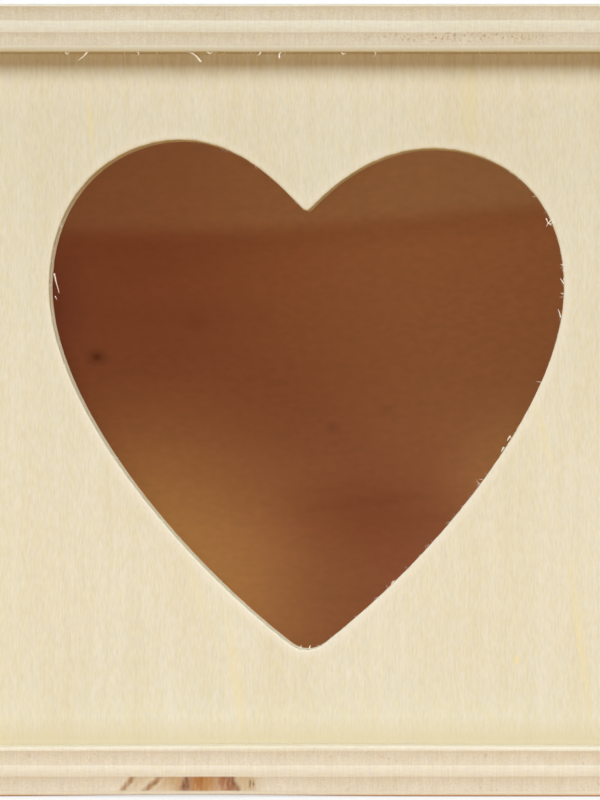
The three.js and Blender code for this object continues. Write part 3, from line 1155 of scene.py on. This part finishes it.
def fibre_tree(material):
    """A Geometry Nodes tree that turns a guide line into bent hairs."""
    tree = bpy.data.node_groups.new("loose_fibres", "GeometryNodeTree")
    tree.interface.new_socket("Line", in_out="INPUT", socket_type="NodeSocketGeometry")
    for label in ("Spacing", "Length", "Thickness", "Spread", "Bend", "Depth"):
        tree.interface.new_socket(label, in_out="INPUT", socket_type="NodeSocketFloat")
    tree.interface.new_socket("Seed", in_out="INPUT", socket_type="NodeSocketInt")
    tree.interface.new_socket("Fibres", in_out="OUTPUT", socket_type="NodeSocketGeometry")
    given = add(tree, "NodeGroupInput").outputs

    curve = add(tree, "GeometryNodeMeshToCurve", {"Mesh": given["Line"]}).outputs[0]
    points = add(
        tree, "GeometryNodeCurveToPoints", {"Curve": curve, "Length": given["Spacing"]}, mode="LENGTH"
    ).outputs[0]
    seeds = [
        add(tree, "FunctionNodeIntegerMath", {0: given["Seed"], 1: k}, operation="ADD").outputs[0]
        for k in range(4)
    ]
    chances = [
        add(tree, "FunctionNodeRandomValue", {2: 0.0, 3: 1.0, 8: seeds[k]}).outputs[1] for k in (0, 1, 3)
    ]
    deep = add(
        tree, "ShaderNodeMath", {0: chances[0], 1: given["Depth"]}, operation="MULTIPLY"
    ).outputs[0]
    deep = add(tree, "ShaderNodeCombineXYZ", {1: deep}).outputs[0]
    points = add(tree, "GeometryNodeSetPosition", {"Geometry": points, "Offset": deep}).outputs[0]

    hair = add(
        tree, "GeometryNodeMeshCone",
        {"Vertices": HAIR_SIDES, "Side Segments": HAIR_JOINTS, "Radius Top": 0.25,
         "Radius Bottom": 1.0, "Depth": 1.0},
    ).outputs[0]
    height = add(tree, "GeometryNodeInputPosition").outputs[0]
    height = add(tree, "ShaderNodeSeparateXYZ", {0: height}).outputs[2]
    hair = add(
        tree, "GeometryNodeStoreNamedAttribute", {"Geometry": hair, "Name": "height", "Value": height},
        data_type="FLOAT", domain="POINT",
    ).outputs[0]

    shag, height, outward = (
        add(tree, "GeometryNodeInputNamedAttribute", {"Name": label}, data_type=kind).outputs[0]
        for label, kind in (("shag", "FLOAT"), ("height", "FLOAT"), ("outward", "FLOAT_VECTOR"))
    )
    grows = add(
        tree, "FunctionNodeCompare", {0: chances[1], 1: shag}, data_type="FLOAT", operation="LESS_THAN"
    ).outputs[0]
    stray = add(
        tree, "FunctionNodeRandomValue", {0: (-1, -1, -1), 1: (1, 1, 1), 8: seeds[2]},
        data_type="FLOAT_VECTOR",
    ).outputs[0]
    stray = add(
        tree, "ShaderNodeVectorMath", {0: stray, "Scale": given["Spread"]}, operation="SCALE"
    ).outputs[0]
    lean = add(tree, "ShaderNodeVectorMath", {0: outward, 1: stray}, operation="ADD").outputs[0]
    turn = add(tree, "FunctionNodeAlignRotationToVector", {"Vector": lean}, axis="Z").outputs[0]
    share = add(tree, "ShaderNodeMath", {0: chances[2], 1: 3.0}, operation="POWER").outputs[0]
    share = add(
        tree, "ShaderNodeMapRange",
        {"Value": share, "From Min": 0, "From Max": 1, "To Min": SHORTEST_HAIR, "To Max": 1.0},
    ).outputs[0]
    length = add(
        tree, "ShaderNodeMath", {0: share, 1: given["Length"]}, operation="MULTIPLY"
    ).outputs[0]
    width = add(tree, "ShaderNodeMath", {0: share, 1: 0.5, 2: 0.5}, operation="MULTIPLY_ADD").outputs[0]
    width = add(
        tree, "ShaderNodeMath", {0: width, 1: given["Thickness"]}, operation="MULTIPLY"
    ).outputs[0]
    size = add(tree, "ShaderNodeCombineXYZ", {0: width, 1: width, 2: length}).outputs[0]
    hairs = add(
        tree, "GeometryNodeInstanceOnPoints",
        {"Points": points, "Selection": grows, "Instance": hair, "Rotation": turn, "Scale": size},
    ).outputs[0]
    hairs = add(tree, "GeometryNodeRealizeInstances", {"Geometry": hairs}).outputs[0]

    place = add(tree, "GeometryNodeInputPosition").outputs[0]
    inputs = {"Vector": place, "Scale": BENDS_PER_METRE, "Detail": 0}
    sway = add(tree, "ShaderNodeTexNoise", inputs).outputs[1]
    sway = add(
        tree, "ShaderNodeVectorMath", {0: sway, 1: (-0.5, -0.5, -0.5)}, operation="ADD"
    ).outputs[0]
    reach = add(tree, "ShaderNodeMath", {0: height, 1: given["Bend"]}, operation="MULTIPLY").outputs[0]
    sway = add(tree, "ShaderNodeVectorMath", {0: sway, "Scale": reach}, operation="SCALE").outputs[0]
    hairs = add(tree, "GeometryNodeSetPosition", {"Geometry": hairs, "Offset": sway}).outputs[0]
    hairs = add(tree, "GeometryNodeSetMaterial", {"Geometry": hairs, "Material": material}).outputs[0]
    add(tree, "NodeGroupOutput", {"Fibres": hairs})
    return tree


def grow_fibres(name, line, closed, shag, outward, tree, **settings):
    """Plants hairs along a line of points in mm and returns them as a plain mesh piece."""
    count = len(line)
    edges = [(k, (k + 1) % count) for k in range(count if closed else count - 1)]
    mesh = bpy.data.meshes.new(name)
    mesh.from_pydata([Vector(p) * MM for p in line], edges, [])
    mesh.attributes.new("shag", "FLOAT", "POINT").data.foreach_set("value", shag)
    flat = np.array(outward, dtype=float).ravel()
    mesh.attributes.new("outward", "FLOAT_VECTOR", "POINT").data.foreach_set("vector", flat)
    piece = bpy.data.objects.new(name, mesh)
    scene.collection.objects.link(piece)
    modifier = piece.modifiers.new("fibres", "NODES")
    modifier.node_group = tree
    sockets = {item.name: item.identifier for item in tree.interface.items_tree}
    for label, value in settings.items():
        modifier[sockets[label]] = value
    graph = bpy.context.evaluated_depsgraph_get()
    finished = bpy.data.meshes.new_from_object(piece.evaluated_get(graph))
    piece.modifiers.clear()
    piece.data = finished
    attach(piece, "root")
    print(name, len(finished.polygons), "faces")
    return piece


# %% [markdown]
# Bare torn fibres are paler than the sanded face, because nothing has flattened or soiled them. They
# are rough and matt, so they catch the lamps from every side and read as pale fluff.

# %% Grow the short fibres
fibre_wood, tree = new_material("torn_poplar_fibres")
hair_surface = add(
    tree, "ShaderNodeBsdfPrincipled",
    {"Base Color": linear("f8f1e0"), "Roughness": 0.8, "Specular IOR Level": 0.2},
)
add(tree, "ShaderNodeOutputMaterial", {"Surface": hair_surface.outputs[0]})
tree = fibre_tree(fibre_wood)

upright = np.abs(into_wood[:, 0]) ** 3
low_flank = np.clip((58 - front_heart[:, 1]) / 20, 0, 1)
patchy = ragged(9.4, 0.35)
heart_shag = np.clip(0.06 + 0.6 * upright * patchy ** 2 + 0.15 * low_flank * patchy, 0, 1)
heart_line = np.c_[front_heart[:, 0], np.full(HEART_STEPS, panel_low[1] + 0.02), front_heart[:, 1]]
heart_lean = np.c_[-into_wood[:, 0], np.full(HEART_STEPS, -0.25), -into_wood[:, 1]]
heart_fibres = grow_fibres(
    "heart_fibres", heart_line, True, heart_shag, heart_lean, tree,
    Spacing=0.16 * MM, Length=0.75 * MM, Thickness=0.045 * MM, Spread=1.1, Bend=0.5 * MM,
    Depth=0.5 * MM, Seed=7,
)

EDGE_STEPS = 500
edge_x = np.linspace(top_low[0] + 1, top_high[0] - 1, EDGE_STEPS)
edge_shag = np.array([0.5 + 0.5 * noise.noise(Vector((x * 0.4, 0, 4))) for x in edge_x]) ** 2
edge_line = np.c_[edge_x, np.full(EDGE_STEPS, front_y + 0.25), np.full(EDGE_STEPS, top_low[2] + 0.1)]
edge_lean = np.tile((0, 0.8, -1), (EDGE_STEPS, 1))
board_fibres = grow_fibres(
    "board_fibres", edge_line, False, edge_shag, edge_lean, tree,
    Spacing=0.2 * MM, Length=0.8 * MM, Thickness=0.06 * MM, Spread=0.7, Bend=0.3 * MM,
    Depth=0.1 * MM, Seed=3,
)

# %% [markdown]
# A few fibres are long enough to stand out in the photograph, so each is drawn along its own pixels:
# some hang from the upper board and the rest curl at the sides of the heart.

# %% Long fibres
SLIVER_SIDES = 5
SLIVER_JOINTS = 10
BOARD_SLIVERS = (
    (((65, 51), (67, 55), (70, 51)), 0.11),
    (((88, 51), (84, 56), (77.5, 61)), 0.13),
    (((136, 51), (139, 53), (137.5, 56)), 0.14),
    (((201.5, 62.5), (197, 57), (194, 54.5), (187, 51)), 0.17),
    (((206, 51), (210, 54), (214, 51)), 0.13),
    (((261, 51), (260, 54), (257, 56)), 0.14),
    (((279.5, 58.5), (279, 54), (283, 51)), 0.16),
    (((341, 51), (343, 55), (345, 53)), 0.12),
    (((374, 51), (376, 54), (373, 57)), 0.12),
)
HEART_SLIVERS = (
    (((54, 273), (56, 282), (59.5, 294)), 0.12),
    (((55, 296), (57, 300)), 0.09),
    (((553, 219), (549, 222), (546, 227)), 0.12),
    (((546, 218), (548, 223), (552, 226)), 0.09),
    (((555, 222), (551, 224), (547, 223)), 0.09),
    (((564, 266), (560, 264)), 0.10),
    (((565, 272), (562, 270)), 0.09),
    (((564, 284), (562, 281), (560, 278)), 0.11),
    (((563.5, 294), (560.5, 293)), 0.10),
    (((561, 318), (559.5, 313), (558, 309)), 0.12),
    (((510, 436), (507, 441)), 0.16),
    (((504, 447), (501, 452)), 0.16),
    (((394, 581), (391, 585)), 0.16),
    (((300, 649), (301.5, 645)), 0.12),
    (((309, 649), (310.5, 645)), 0.12),
)


def sliver(path, radius, y_mm, vertices, faces):
    """Adds one tapering closed fibre along a path of pixels on an upright plane."""
    path = np.array(path, dtype=float)
    where = np.linspace(0, len(path) - 1, SLIVER_JOINTS)
    px = np.interp(where, range(len(path)), path[:, 0])
    py = np.interp(where, range(len(path)), path[:, 1])
    rounded = [np.convolve(np.pad(v, 1, "edge"), (0.25, 0.5, 0.25), "valid") for v in (px, py)]
    spine = [seen_at(x, y, y_mm) for x, y in zip(*rounded)]
    first = len(vertices)
    for k, spot in enumerate(spine):
        ahead = spine[min(k + 1, SLIVER_JOINTS - 1)] - spine[max(k - 1, 0)]
        side = ahead.cross(Vector((0, 1, 0))).normalized()
        width = radius * (1 - 0.75 * k / (SLIVER_JOINTS - 1))
        for j in range(SLIVER_SIDES):
            angle = 2 * pi * j / SLIVER_SIDES
            vertices.append(spot + side * cos(angle) * width + Vector((0, sin(angle) * width, 0)))
    for k in range(SLIVER_JOINTS - 1):
        for j in range(SLIVER_SIDES):
            a = first + k * SLIVER_SIDES + j
            b = first + k * SLIVER_SIDES + (j + 1) % SLIVER_SIDES
            faces.append((a, b, b + SLIVER_SIDES, a + SLIVER_SIDES))
    last = first + (SLIVER_JOINTS - 1) * SLIVER_SIDES
    faces.append(tuple(range(first, first + SLIVER_SIDES)))
    faces.append(tuple(range(last, last + SLIVER_SIDES)))


for name, group, y_mm, slot in (
    ("board_slivers", BOARD_SLIVERS, front_y + 0.2, "pale_plywood"),
    ("heart_slivers", HEART_SLIVERS, panel_low[1], "pale_veneer"),
):
    vertices, faces = [], []
    for path, radius in group:
        sliver(path, radius, y_mm, vertices, faces)
    piece = mesh_piece(name, vertices, faces, fibre_wood)
    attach(piece, "root")
    print(name, len(group), "fibres")
